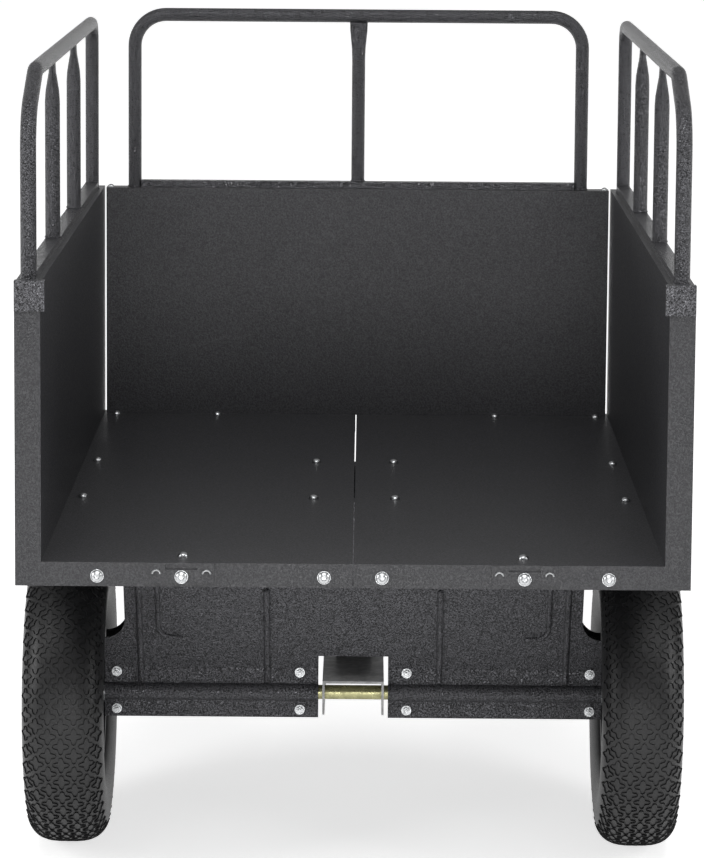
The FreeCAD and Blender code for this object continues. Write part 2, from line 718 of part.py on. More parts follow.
def bed_stop():
    """Strap bent into a U under the floor; its foot rests on the drawbar."""
    body = new_body("bed_stop")
    half = "stop_width / 2"
    top = "(floor_height - floor_gauge)"
    foot = f"({DRAWBAR_TOP} + stop_play)"
    brim = f"({half} + stop_flange)"
    inner = f"({half} - stop_gauge)"
    strap = [
        (f"-{brim}", top),
        (f"-{brim}", f"{top} - stop_gauge"),
        (f"-{half}", f"{top} - stop_gauge"),
        (f"-{half}", foot),
        (half, foot),
        (half, f"{top} - stop_gauge"),
        (brim, f"{top} - stop_gauge"),
        (brim, top),
        (inner, top),
        (inner, f"{foot} + stop_gauge"),
        (f"-{inner}", f"{foot} + stop_gauge"),
        (f"-{inner}", top),
    ]
    pad(body, "XZ_Plane", "stop_reach + stop_depth / 2", "stop_depth", strap)
    rod = "striker_diameter / 2"
    across = "stop_reach"
    up = f"{DRAWBAR_TOP} + striker_height"
    drill(body, "YZ_Plane", "-stop_width", "2 * stop_width", across, up, rod)
    round_bar(
        "latch_striker", "striker_diameter", f"-({half} + stop_gauge)",
        "stop_width + 2 * stop_gauge", "YZ_Plane", across, up,
    )


def latch():
    """Two ears on the drawbar, a pin and a hooked lever drawn clear of the striker."""
    ears = new_body("latch_ears")
    half = "(ear_spacing / 2 + ear_gauge)"
    pin_up = f"({DRAWBAR_TOP} + latch_height)"
    ear_half = "latch_height * 0.6"
    profile = box_corners(f"-{half}", half, DRAWBAR_TOP, f"{pin_up} + latch_pin_diameter")
    pad(ears, "XZ_Plane", f"latch_reach + {ear_half}", f"2 * {ear_half}", profile)
    slot = box_corners(
        "-ear_spacing / 2", "ear_spacing / 2", f"{DRAWBAR_TOP} + ear_gauge", f"{pin_up} + latch_height"
    )
    pocket(ears, "XZ_Plane", f"latch_reach + {ear_half}", f"2 * {ear_half}", slot)
    pin = "latch_pin_diameter / 2"
    drill(ears, "YZ_Plane", "-drawbar_size", "2 * drawbar_size", "latch_reach", pin_up, pin)
    round_bar(
        "latch_pin", "latch_pin_diameter", f"-({half} + ear_gauge)",
        f"2 * ({half} + ear_gauge)", "YZ_Plane", "latch_reach", pin_up,
    )
    lever = new_body("latch_lever")
    boss = "latch_pin_diameter"
    outline = [
        (f"latch_reach - {boss}", f"{pin_up} - {boss}"),
        (f"latch_reach + {boss}", f"{pin_up} - {boss}"),
        ("latch_reach + 7 * latch_pin_diameter", f"{pin_up} + 4 * latch_pin_diameter"),
        ("latch_reach + 19 * latch_pin_diameter", f"{pin_up} + 8 * latch_pin_diameter"),
        ("latch_reach + 18.5 * latch_pin_diameter", f"{pin_up} + 9.5 * latch_pin_diameter"),
        ("latch_reach + 6 * latch_pin_diameter", f"{pin_up} + 5.5 * latch_pin_diameter"),
        (f"latch_reach + {boss}", f"{pin_up} + {boss}"),
        ("latch_reach - 3 * latch_pin_diameter", f"{pin_up} + 5 * latch_pin_diameter"),
        ("latch_reach - 4.5 * latch_pin_diameter", f"{pin_up} + 7.5 * latch_pin_diameter"),
        ("latch_reach - 7 * latch_pin_diameter", f"{pin_up} + 5 * latch_pin_diameter"),
        ("latch_reach - 6 * latch_pin_diameter", f"{pin_up} + 4.2 * latch_pin_diameter"),
        ("latch_reach - 4.5 * latch_pin_diameter", f"{pin_up} + 5.2 * latch_pin_diameter"),
    ]
    pad(lever, "YZ_Plane", "-lever_gauge / 2", "lever_gauge", outline)
    drill(lever, "YZ_Plane", "-lever_gauge", "2 * lever_gauge", "latch_reach", pin_up, pin)


# ---------------------------------------------------------------- the whole cart
for side, sign in SIDES:
    floor_pan(side, sign)
    side_wall(side, sign)
    side_rail(side, sign)
    corner_cap(side, sign)
    gate_catch(side, sign)
    wheel(side, sign)
front_wall()
front_rail()
for end, sign in (("rear", "-1"), ("front", "1")):
    cross_rail(end, sign)
    axle_panel(end, sign)
round_bar("axle", "axle_diameter", f"-{AXLE_HALF}", f"2 * {AXLE_HALF}", "YZ_Plane", "0", "0")
pivot_channel()
drawbar_tube()
hitch_clevis()
bed_stop()
latch()

for body in sub_parts:
    body.Placement = PARKED
document.recompute()

faulty = [
    f"{thing.Name} {thing.State}"
    for thing in document.Objects
    if {"Invalid", "Error"} & set(thing.State)
]
faulty += [b.Label for b in sub_parts if b.Shape.isNull() or not b.Shape.isValid()]
if faulty:
    raise RuntimeError(f"these objects failed: {faulty}")

os.makedirs("parts", exist_ok=True)
for body in sub_parts:
    body.Shape.exportStep(f"parts/{body.Label}.step")
print(f"{len(sub_parts)} sub-parts written")
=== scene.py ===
"""Looks of the two-wheel dump cart: its paint, plating, tyres, fasteners, pressings and the stage.

New pieces are drawn with the cart level and the axle's middle at the origin, in metres, and are
then parked nose-down with the CAD nodes.
"""

import json
import math

import bmesh
import bpy
from mathutils import Matrix, Vector


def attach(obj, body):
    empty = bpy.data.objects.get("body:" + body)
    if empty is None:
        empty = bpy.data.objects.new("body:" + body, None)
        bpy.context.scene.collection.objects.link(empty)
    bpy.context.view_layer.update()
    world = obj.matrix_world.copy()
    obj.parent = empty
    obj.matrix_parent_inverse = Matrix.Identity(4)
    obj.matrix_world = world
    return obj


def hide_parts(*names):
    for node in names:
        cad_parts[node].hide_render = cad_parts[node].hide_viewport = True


bl_info = {
    "name": "Dump cart",
    "version": (1, 0, 0),
    "blender": (4, 5, 0),
    "location": "View3D > Sidebar > Dump cart",
    "description": "Finishes a tipping garden cart and lights it",
    "category": "Object",
}

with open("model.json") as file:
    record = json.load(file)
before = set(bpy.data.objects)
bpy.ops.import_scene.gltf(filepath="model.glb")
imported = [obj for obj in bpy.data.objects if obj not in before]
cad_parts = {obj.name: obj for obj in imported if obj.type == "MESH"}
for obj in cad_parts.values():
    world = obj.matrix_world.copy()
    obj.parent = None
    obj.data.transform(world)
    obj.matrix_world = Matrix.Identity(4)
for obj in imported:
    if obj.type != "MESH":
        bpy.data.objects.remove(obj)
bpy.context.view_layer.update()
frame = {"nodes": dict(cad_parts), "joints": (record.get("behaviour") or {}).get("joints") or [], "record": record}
RECORD = frame["record"]
SIDES = ("left", "right")
MERGE_DISTANCE = 1e-6
# Bolts of the floor and the rear lip, from the middle or an edge of the bed
SEAM_BOLT_X = 0.052
EDGE_BOLT_X = 0.347
FRONT_BOLT_INSET = 0.012
REAR_BOLT_INSET = 0.044
LIP_OUTER_BOLT_X = 0.300
LIP_SEAM_BOLT_X = 0.034
LIP_BOLT_DROP = 0.0163
CORNER_STUD_INSET = 0.006
# Axle panels: skin, crease where the web starts to slope, nuts and pressings
PANEL_SKIN = 0.002
PANEL_CREASE = 0.032
PANEL_FLANGE = 0.040
PANEL_NUT_X = (-0.3125, -0.0705, 0.0705, 0.3125)
PANEL_NUT_Z = (0.0265, -0.0235)
OUTER_BEAD_X = 0.2805
INNER_BEAD_X = 0.1135
INNER_BEAD_TOP = 0.150
CORNER_STEP_X = 0.256
CORNER_STEP_BEND = 0.016
CORNER_STEP_END = 0.226
CORNER_STEP_HEIGHTS = (0.185, 0.14, 0.095)
# Wheels
RIM_DISC_SKIN = 0.0013
WHEEL_BOLT_CIRCLE = 0.05
VALVE_RADIUS = 0.078


# ---------------------------------------------------------------- where things are
def joint_place(name):
    return Vector(next(j["pos_m"] for j in frame["joints"] if j["name"] == name))


def parked_matrix():
    """From the level cart, with the axle at the origin, to the parked one."""
    up = Vector(next(m["axis"] for m in RECORD["mounts"] if m["name"] == "hitch_hole"))
    nose_down = Matrix.Rotation(-math.atan2(up.y, up.z), 4, "X")
    return Matrix.Translation(joint_place("bed_tip")) @ nose_down


PARKED = parked_matrix()
LEVEL = PARKED.inverted()


def level_box(node):
    """Lowest and highest corners of a CAD node on the level cart."""
    points = [LEVEL @ v.co for v in frame["nodes"][node].data.vertices]
    low = Vector([min(p[i] for p in points) for i in range(3)])
    high = Vector([max(p[i] for p in points) for i in range(3)])
    return low, high


# ---------------------------------------------------------------- user settings
class CartSizes(bpy.types.PropertyGroup):
    """Sizes of the pieces that are added round the CAD nodes."""

    lug_height: bpy.props.FloatProperty(
        name="Lug height", description="Tread depth", default=0.0052, unit="LENGTH")
    lug_pitch: bpy.props.FloatProperty(
        name="Lug pitch", description="Spacing of the tread lugs", default=0.0270, unit="LENGTH")
    bolt_head: bpy.props.FloatProperty(
        name="Bolt head", description="Diameter of a domed bolt head", default=0.0135, unit="LENGTH")
    lip_bolt_head: bpy.props.FloatProperty(
        name="Lip bolt head", description="Diameter of a bolt head on the rear lip",
        default=0.0158, unit="LENGTH")
    bead_radius: bpy.props.FloatProperty(
        name="Bead radius", description="Pressed beads of the axle panels", default=0.0042,
        unit="LENGTH")
    weld_radius: bpy.props.FloatProperty(
        name="Weld radius", description="Weld round a rail's foot", default=0.0017, unit="LENGTH")


class CartColours(bpy.types.PropertyGroup):
    """Colours of the finishes."""

    paint: bpy.props.FloatVectorProperty(
        name="Paint", description="Hammered powder coat", subtype="COLOR",
        default=(0.075, 0.075, 0.081), min=0, max=1)
    paint_dark: bpy.props.FloatVectorProperty(
        name="Paint hollows", description="Powder coat in its hollows", subtype="COLOR",
        default=(0.014, 0.014, 0.016), min=0, max=1)
    rubber: bpy.props.FloatVectorProperty(
        name="Rubber", description="Tyre rubber", subtype="COLOR",
        default=(0.006, 0.006, 0.0066), min=0, max=1)
    zinc: bpy.props.FloatVectorProperty(
        name="Zinc", description="Bright zinc plating", subtype="COLOR",
        default=(0.55, 0.56, 0.57), min=0, max=1)
    galvanised: bpy.props.FloatVectorProperty(
        name="Galvanised", description="Galvanised sheet", subtype="COLOR",
        default=(0.60, 0.60, 0.60), min=0, max=1)
    yellow_zinc: bpy.props.FloatVectorProperty(
        name="Yellow zinc", description="Yellow zinc plating of the axle", subtype="COLOR",
        default=(0.46, 0.44, 0.24), min=0, max=1)


# ---------------------------------------------------------------- materials
def add_node(tree, kind, place, **settings):
    node = tree.nodes.new(kind)
    node.location = place
    for key, setting in settings.items():
        setattr(node, key, setting)
    return node


def mottle_group():
    """Group: fine cells and slower blotches as a colour, a roughness and a height."""
    found = bpy.data.node_groups.get("mottled finish")
    if found:
        return found
    group = bpy.data.node_groups.new("mottled finish", "ShaderNodeTree")
    sockets = group.interface
    for name in ("Light", "Dark"):
        sockets.new_socket(name=name, in_out="INPUT", socket_type="NodeSocketColor")
    for name in ("Cell Scale", "Smooth", "Rough", "Wear"):
        sockets.new_socket(name=name, in_out="INPUT", socket_type="NodeSocketFloat")
    sockets.new_socket(name="Color", in_out="OUTPUT", socket_type="NodeSocketColor")
    for name in ("Roughness", "Height"):
        sockets.new_socket(name=name, in_out="OUTPUT", socket_type="NodeSocketFloat")
    entry = add_node(group, "NodeGroupInput", (-900, 0))
    leave = add_node(group, "NodeGroupOutput", (700, 0))
    place = add_node(group, "ShaderNodeTexCoord", (-900, -300))
    cells = add_node(group, "ShaderNodeTexNoise", (-600, 100))
    cells.inputs["Detail"].default_value = 2.0
    cells.inputs["Distortion"].default_value = 0.6
    blotches = add_node(group, "ShaderNodeTexNoise", (-600, -250))
    blotches.inputs["Scale"].default_value = 9.0
    blotches.inputs["Detail"].default_value = 4.0
    crisp = add_node(group, "ShaderNodeMapRange", (-350, 100))
    crisp.inputs["From Min"].default_value = 0.36
    crisp.inputs["From Max"].default_value = 0.64
    tint = add_node(group, "ShaderNodeMix", (-50, 150), data_type="RGBA")
    shade = add_node(group, "ShaderNodeMix", (300, 150), data_type="RGBA", blend_type="MULTIPLY")
    tone = add_node(group, "ShaderNodeMapRange", (-50, -200))
    tone.inputs["To Min"].default_value = 0.78
    tone.inputs["To Max"].default_value = 1.18
    gloss = add_node(group, "ShaderNodeMapRange", (300, -150))
    link = group.links.new
    link(place.outputs["Object"], cells.inputs["Vector"])
    link(place.outputs["Object"], blotches.inputs["Vector"])
    link(entry.outputs["Cell Scale"], cells.inputs["Scale"])
    link(cells.outputs["Fac"], crisp.inputs["Value"])
    link(crisp.outputs["Result"], tint.inputs["Factor"])
    link(entry.outputs["Dark"], tint.inputs["A"])
    link(entry.outputs["Light"], tint.inputs["B"])
    link(blotches.outputs["Fac"], tone.inputs["Value"])
    link(entry.outputs["Wear"], shade.inputs["Factor"])
    link(tint.outputs["Result"], shade.inputs["A"])
    link(tone.outputs["Result"], shade.inputs["B"])
    link(shade.outputs["Result"], leave.inputs["Color"])
    link(crisp.outputs["Result"], gloss.inputs["Value"])
    link(entry.outputs["Rough"], gloss.inputs["To Min"])
    link(entry.outputs["Smooth"], gloss.inputs["To Max"])
    link(gloss.outputs["Result"], leave.inputs["Roughness"])
    link(crisp.outputs["Result"], leave.inputs["Height"])
    return group


def mottled_material(name, light, dark, cell_scale, smooth, rough, wear, metal, relief):
    """Material on the mottle group; relief is the height of the cells in metres."""
    material = bpy.data.materials.new(name)
    material.use_nodes = True
    tree = material.node_tree
    shader = tree.nodes["Principled BSDF"]
    mottle = add_node(tree, "ShaderNodeGroup", (-500, 0), node_tree=mottle_group())
    mottle.inputs["Light"].default_value = (*light, 1)
    mottle.inputs["Dark"].default_value = (*dark, 1)
    mottle.inputs["Cell Scale"].default_value = cell_scale
    mottle.inputs["Smooth"].default_value = smooth
    mottle.inputs["Rough"].default_value = rough
    mottle.inputs["Wear"].default_value = wear
    bump = add_node(tree, "ShaderNodeBump", (-250, -250))
    bump.inputs["Distance"].default_value = relief
    bump.inputs["Strength"].default_value = 1.0
    shader.inputs["Metallic"].default_value = metal
    tree.links.new(mottle.outputs["Color"], shader.inputs["Base Color"])
    tree.links.new(mottle.outputs["Roughness"], shader.inputs["Roughness"])
    tree.links.new(mottle.outputs["Height"], bump.inputs["Height"])
    tree.links.new(bump.outputs["Normal"], shader.inputs["Normal"])
    return material


def tinted(colour, factor):
    return tuple(min(1.0, c * factor) for c in colour)


def make_materials(colours):
    paint, hollow = tuple(colours.paint), tuple(colours.paint_dark)
    zinc = tuple(colours.zinc)
    return {
        "dark_paint": mottled_material(
            "hammered paint", tinted(paint, 1.9), tinted(hollow, 0.6), 520, 0.24, 0.5, 0.4, 0.4, 0.0007),
        # Darker copy of the same hammered paint, its colour cut to about a third: painted shade for the floor and
        # walls inside the bed; the gate catches take it too
        "shaded_sheet_paint": mottled_material(
            "shaded sheet paint", tinted(paint, 0.62), tinted(hollow, 1.3), 480, 0.32, 0.42, 0.5, 0.15, 0.00012),
        "rail_paint": mottled_material(
            "rail paint", tinted(paint, 1.7), tinted(hollow, 0.4), 620, 0.16, 0.42, 0.3, 0.5, 0.0007),
        "rim_paint": mottled_material(
            "rim paint", tinted(paint, 0.6), tinted(hollow, 0.8), 300, 0.35, 0.45, 0.4, 0.1, 0.00005),
        "tyre": mottled_material(
            "tyre rubber", tinted(tuple(colours.rubber), 1.1), tuple(colours.rubber),
            900, 0.38, 0.55, 0.6, 0.0, 0.00005),
        "bright_zinc": mottled_material(
            "bright zinc", zinc, tinted(zinc, 0.72), 260, 0.24, 0.38, 0.4, 1.0, 0.00002),
        "galvanised": mottled_material(
            "galvanised steel", tinted(tuple(colours.galvanised), 0.7),
            tinted(tuple(colours.galvanised), 0.5),
            90, 0.4, 0.5, 0.6, 0.1, 0.00001),
        "yellow_zinc": mottled_material(
            "yellow zinc", tuple(colours.yellow_zinc), tinted(tuple(colours.yellow_zinc), 0.75),
            140, 0.26, 0.4, 0.6, 0.9, 0.00001),
    }


materials = {}


# ---------------------------------------------------------------- making a piece
def finish_piece(mesh, name, body, finish, smooth=True, replaced=()):
    """Turn a level bmesh into a parked piece that rides on a body."""
    bmesh.ops.transform(mesh, matrix=PARKED, verts=mesh.verts)
    data = bpy.data.meshes.new(name)
    mesh.to_mesh(data)
    mesh.free()
    piece = bpy.data.objects.new(name, data)
    bpy.context.scene.collection.objects.link(piece)
    data.materials.append(materials[finish])
    if smooth:
        data.shade_smooth()
        data.set_sharp_from_angle(angle=math.radians(35))
    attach(piece, body)
    if replaced:
        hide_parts(*replaced)
    return piece


def revolve(mesh, profile, steps, closed=False):
    """Spin (radius, height) points round Z in an empty mesh, and close the ends that lie on it."""
    verts = [mesh.verts.new((radius, 0, height)) for radius, height in profile]
    pairs = zip(verts, verts[1:] + verts[:1] if closed else verts[1:])
    edges = [mesh.edges.new(pair) for pair in pairs]
    bmesh.ops.spin(
        mesh, geom=verts + edges, cent=(0, 0, 0), axis=(0, 0, 1), angle=math.tau, steps=steps,
        use_merge=True)
    bmesh.ops.remove_doubles(mesh, verts=mesh.verts, dist=MERGE_DISTANCE)
    bmesh.ops.recalc_face_normals(mesh, faces=mesh.faces)


def add_mesh(target, source, matrix):
    """Copy a small bmesh into a larger one."""
    copy = bpy.data.meshes.new("copy")
    source.to_mesh(copy)
    copy.transform(matrix)
    target.from_mesh(copy)
    bpy.data.meshes.remove(copy)


def head_mesh(diameter, height, recess):
    """Domed round head on a thin collar; a recess gives it a sunk socket."""
    mesh = bmesh.new()
    radius = diameter / 2
    profile = [(radius, 0), (radius, height * 0.22)]
    profile += [
        (radius * 0.92 * math.cos(a), height * 0.22 + height * 0.78 * math.sin(a))
        for a in (0, 0.35, 0.7, 1.05)
    ]
    if recess:
        profile += [(radius * 0.42, height * 0.93), (radius * 0.36, height * 0.5), (0, height * 0.45)]
    else:
        profile += [(radius * 0.25, height * 0.99), (0, height)]
    revolve(mesh, profile, 24)
    return mesh


def nut_mesh(across_flats, height):
    """Six-sided nut with chamfered corners, a bolt end and a washer."""
    mesh = bmesh.new()
    corner = across_flats / math.sqrt(3)
    bmesh.ops.create_cone(
        mesh, cap_ends=True, segments=24, radius1=across_flats * 0.78, radius2=across_flats * 0.78,
        depth=0.0014, matrix=Matrix.Translation((0, 0, 0.0007)))
    bmesh.ops.create_cone(
        mesh, cap_ends=True, segments=6, radius1=corner, radius2=corner * 0.95, depth=height,
        matrix=Matrix.Translation((0, 0, 0.0014 + height / 2)))
    bmesh.ops.create_cone(
        mesh, cap_ends=True, segments=16, radius1=across_flats * 0.3, radius2=across_flats * 0.26,
        depth=0.003, matrix=Matrix.Translation((0, 0, 0.0014 + height + 0.0015)))
    return mesh


def facing(place, normal):
    """Matrix that sets a fastener drawn up +Z on a place, facing along a normal."""
    return Matrix.Translation(place) @ Vector(normal).to_track_quat("Z", "Y").to_matrix().to_4x4()


def tube_along(mesh, points, radius, segments=12):
    """Round bar through points, with rounded ends."""
    rings = []
    for number, point in enumerate(points):
        before = points[max(number - 1, 0)]
        after = points[min(number + 1, len(points) - 1)]
        turn = (after - before).to_track_quat("Z", "Y").to_matrix().to_4x4()
        made = bmesh.ops.create_circle(
            mesh, cap_ends=False, segments=segments, radius=radius,
            matrix=Matrix.Translation(point) @ turn)
        rings.append(made["verts"])
    for first, second in zip(rings, rings[1:]):
        bmesh.ops.bridge_loops(mesh, edges=circle_edges(first) + circle_edges(second))
    for ring, inward in ((rings[0], points[0] - points[1]), (rings[-1], points[-1] - points[-2])):
        tip = sum((v.co for v in ring), Vector()) / len(ring) + inward.normalized() * radius * 0.7
        centre = mesh.verts.new(tip)
        for first, second in zip(ring, ring[1:] + ring[:1]):
            mesh.faces.new((first, second, centre))
    bmesh.ops.recalc_face_normals(mesh, faces=mesh.faces)


def circle_edges(ring):
    """Edges between the vertices of one ring."""
    return list({e for v in ring for e in v.link_edges if set(e.verts) <= set(ring)})


# ---------------------------------------------------------------- tyres
def tyre_section(node):
    """Half width, outer radius and the middle of a tyre on the level cart."""
    low, high = level_box(node)
    return (high.x - low.x) / 2, (high.z - low.z) / 2, (high.x + low.x) / 2


def carcass_profile(half, outer, lug):
    """(radius, offset) points of a carcass under the tread, from bead to bead."""
    bead_radius, bead_half = outer * 0.5, half * 0.724
    swell_radius = outer * 0.763
    crown = outer - lug
    sidewall_arc = math.radians(72)
    drop = (swell_radius - bead_radius * 1.12) / math.sin(sidewall_arc)
    draw_in = (half - bead_half) / (1 - math.cos(sidewall_arc))
    points = []
    for step in range(9):
        a = sidewall_arc * (step / 8 - 1)
        points.append((swell_radius + drop * math.sin(a), half - draw_in * (1 - math.cos(a))))
    crown_steps = 14
    for step in range(1, crown_steps + 1):
        a = math.pi / 2 * step / crown_steps
        wide = half * math.cos(a) ** 0.62 if step < crown_steps else 0.0
        points.append((swell_radius + (crown - swell_radius) * math.sin(a) ** 0.86, wide))
    right = [(bead_radius, bead_half)] + points
    left = [(r, -x) for r, x in reversed(right[:-1])]
    return right + left


def surface_at(profile, distance):
    """Radius and offset at an arc length from the crown, with the outward normal."""
    middle = len(profile) // 2
    way = 1 if distance < 0 else -1
    left = abs(distance)
    index = middle
    while True:
        here, there = profile[index], profile[index + way]
        span = math.hypot(there[0] - here[0], there[1] - here[1])
        if left <= span or not 0 < index + way < len(profile) - 1:
            share = min(left / span, 1.0)
            radius = here[0] + (there[0] - here[0]) * share
            offset = here[1] + (there[1] - here[1]) * share
            along = Vector((there[0] - here[0], there[1] - here[1])) / span * way
            return radius, offset, Vector((-along.y, along.x)) * -1
        left -= span
        index += way


def clover(lobes=4, points_per_lobe=6, radius=1.0):
    """Outline of a four-lobed lug of unit size."""
    outline = []
    for step in range(lobes * points_per_lobe):
        a = math.tau * step / (lobes * points_per_lobe)
        reach = radius * (0.74 + 0.26 * math.cos(lobes * a))
        outline.append((reach * math.cos(a), reach * math.sin(a)))
    return outline


def add_lug(mesh, profile, outline, across, around, size, lug, middle):
    """One tread lug bent to the tyre's surface."""
    rings = []
    for height, grow in ((-0.0015, 1.06), (lug * 0.86, 0.98), (lug, 0.88)):
        ring = []
        for u, v in outline:
            radius, offset, normal = surface_at(profile, across + u * size * grow)
            radius += normal.x * height
            angle = around + v * size * grow / profile[len(profile) // 2][0]
            ring.append(mesh.verts.new((
                middle + offset + normal.y * height,
                radius * math.sin(angle), radius * math.cos(angle))))
        rings.append(ring)
    for first, second in zip(rings, rings[1:]):
        for i in range(len(outline)):
            j = (i + 1) % len(outline)
            mesh.faces.new((first[i], first[j], second[j], second[i]))
    mesh.faces.new(rings[-1])


class CART_OT_tyres(bpy.types.Operator):
    """Tyres with rows of clover lugs"""

    bl_idname = "cart.tyres"
    bl_label = "Tyres"

    def execute(self, context):
        sizes = context.scene.cart_sizes
        lug, pitch = sizes.lug_height, sizes.lug_pitch
        outline = clover()
        for side in SIDES:
            node = f"{side}_tyre"
            half, outer, middle = tyre_section(node)
            profile = carcass_profile(half, outer, lug)
            mesh = bmesh.new()
            verts = [mesh.verts.new((middle + x, 0, r)) for r, x in profile]
            lining = reversed(profile[2:-2])
            inner = [mesh.verts.new((middle + x * 0.82, 0, r * 0.955)) for r, x in lining]
            loop = verts + inner
            edges = [mesh.edges.new(pair) for pair in zip(loop, loop[1:] + loop[:1])]
            bmesh.ops.spin(
                mesh, geom=loop + edges, cent=(middle, 0, 0), axis=(1, 0, 0), angle=math.tau,
                steps=120, use_merge=True)
            bmesh.ops.remove_doubles(mesh, verts=mesh.verts, dist=MERGE_DISTANCE)
            bmesh.ops.recalc_face_normals(mesh, faces=mesh.faces)
            rows = round(math.tau * outer / pitch)
            for column in range(-3, 4):
                across = column * pitch * 0.62
                stagger = 0.5 * (column % 2)
                for row in range(rows):
                    around = math.tau * (row + stagger) / rows
                    add_lug(mesh, profile, outline, across, around, pitch * 0.39, lug, middle)
            lugs = [f for f in mesh.faces if len(f.verts) != 4]
            bmesh.ops.triangulate(mesh, faces=lugs)
            for face in mesh.faces:
                centre = face.calc_center_median()
                outward = centre - Vector((middle, 0, 0))
                outward.x *= 0.2
                if centre.yz.length > outer - lug * 1.2 and face.normal.dot(outward) < 0:
                    face.normal_flip()
            finish_piece(
                mesh, f"{side}_tyre_tread", f"{side}_wheel", "tyre", replaced=(node,))
        return {"FINISHED"}


# ---------------------------------------------------------------- wheel fittings
class CART_OT_wheel_fittings(bpy.types.Operator):
    """Wheel bolts and valve stems"""

    bl_idname = "cart.wheel_fittings"
    bl_label = "Wheel fittings"

    def execute(self, context):
        for side, sign in zip(SIDES, (-1, 1)):
            low, high = level_box(f"{side}_rim")
            middle = (low.x + high.x) / 2
            disc_face = middle + sign * RIM_DISC_SKIN
            bolts = bmesh.new()
            nut = nut_mesh(0.013, 0.006)
            for number in range(4):
                a = math.tau * (number + 0.5) / 4
                across, up = WHEEL_BOLT_CIRCLE * math.sin(a), WHEEL_BOLT_CIRCLE * math.cos(a)
                place = Vector((disc_face, across, up))
                add_mesh(bolts, nut, facing(place, (sign, 0, 0)))
            nut.free()
            finish_piece(bolts, f"{side}_wheel_bolts", f"{side}_wheel", "bright_zinc")
            valve = bmesh.new()
            start = Vector((disc_face, 0, VALVE_RADIUS))
            tube_along(valve, [start, start + Vector((sign * 0.012, 0, -0.002)),
                               start + Vector((sign * 0.026, 0, -0.007))], 0.0032)
            finish_piece(valve, f"{side}_valve", f"{side}_wheel", "tyre")
        return {"FINISHED"}


# ---------------------------------------------------------------- fasteners
class CART_OT_fasteners(bpy.types.Operator):
    """Bolts of the floor, the rear lip, the axle panels and the wall corners"""

    bl_idname = "cart.fasteners"
    bl_label = "Fasteners"

    def execute(self, context):
        sizes = context.scene.cart_sizes
        floor_low, floor_high = level_box("floor_left")
        top = floor_high.z
        rear = floor_low.y
        front_face = level_box("front_wall")[0].y
        rail_y = [sum(c.y for c in level_box(f"{end}_cross_rail")) / 2 for end in ("rear", "front")]
        catch_x = -sum(c.x for c in level_box("left_gate_catch")) / 2
        spots = [(x * s, y) for s in (-1, 1) for x in (SEAM_BOLT_X, EDGE_BOLT_X) for y in rail_y]
        front_row = front_face - FRONT_BOLT_INSET
        spots += [(x * s, front_row) for s in (-1, 1) for x in (catch_x, EDGE_BOLT_X)]
        spots += [(catch_x * s, rear + REAR_BOLT_INSET) for s in (-1, 1)]
        head = head_mesh(sizes.bolt_head, 0.0052, False)
        mesh = bmesh.new()
        for x, y in spots:
            add_mesh(mesh, head, facing((x, y, top), (0, 0, 1)))
        head.free()
        finish_piece(mesh, "floor_bolts", "bed", "bright_zinc")
        lip = bmesh.new()
        head = head_mesh(sizes.lip_bolt_head, 0.0055, True)
        catch_rear = level_box("left_gate_catch")[0].y
        for s in (-1, 1):
            for x, y in ((LIP_OUTER_BOLT_X, rear), (catch_x, catch_rear), (LIP_SEAM_BOLT_X, rear)):
                add_mesh(lip, head, facing((s * x, y, top - LIP_BOLT_DROP), (0, -1, 0)))
        head.free()
        finish_piece(lip, "lip_bolts", "bed", "bright_zinc")
        for end, sign in (("rear", -1), ("front", 1)):
            foot = bmesh.new()
            nut = nut_mesh(0.0085, 0.0045)
            for x in PANEL_NUT_X:
                for z in PANEL_NUT_Z:
                    add_mesh(foot, nut, facing((x, sign * PANEL_SKIN, z), (0, sign, 0)))
            nut.free()
            finish_piece(foot, f"{end}_panel_nuts", "bed", "bright_zinc")
        corner = bmesh.new()
        head = head_mesh(0.009, 0.004, False)
        wall_low, wall_high = level_box("front_wall")
        for x in (wall_low.x + CORNER_STUD_INSET, wall_high.x - CORNER_STUD_INSET):
            place = (x, wall_low.y + FRONT_BOLT_INSET, wall_high.z)
            add_mesh(corner, head, facing(place, (0, 0, 1)))
        head.free()
        finish_piece(corner, "corner_studs", "bed", "bright_zinc")
        return {"FINISHED"}


# ---------------------------------------------------------------- pressings
def web_point(sign, height):
    """Place on the outer skin of an axle panel's sloping web, at a height over the axle."""
    high = level_box("front_axle_panel")[1]
    top = high.z - PANEL_SKIN
    knee = high.y - PANEL_FLANGE
    share = max(0.0, (height - PANEL_CREASE) / (top - PANEL_CREASE))
    return Vector((0, sign * (PANEL_SKIN + knee * share), height))


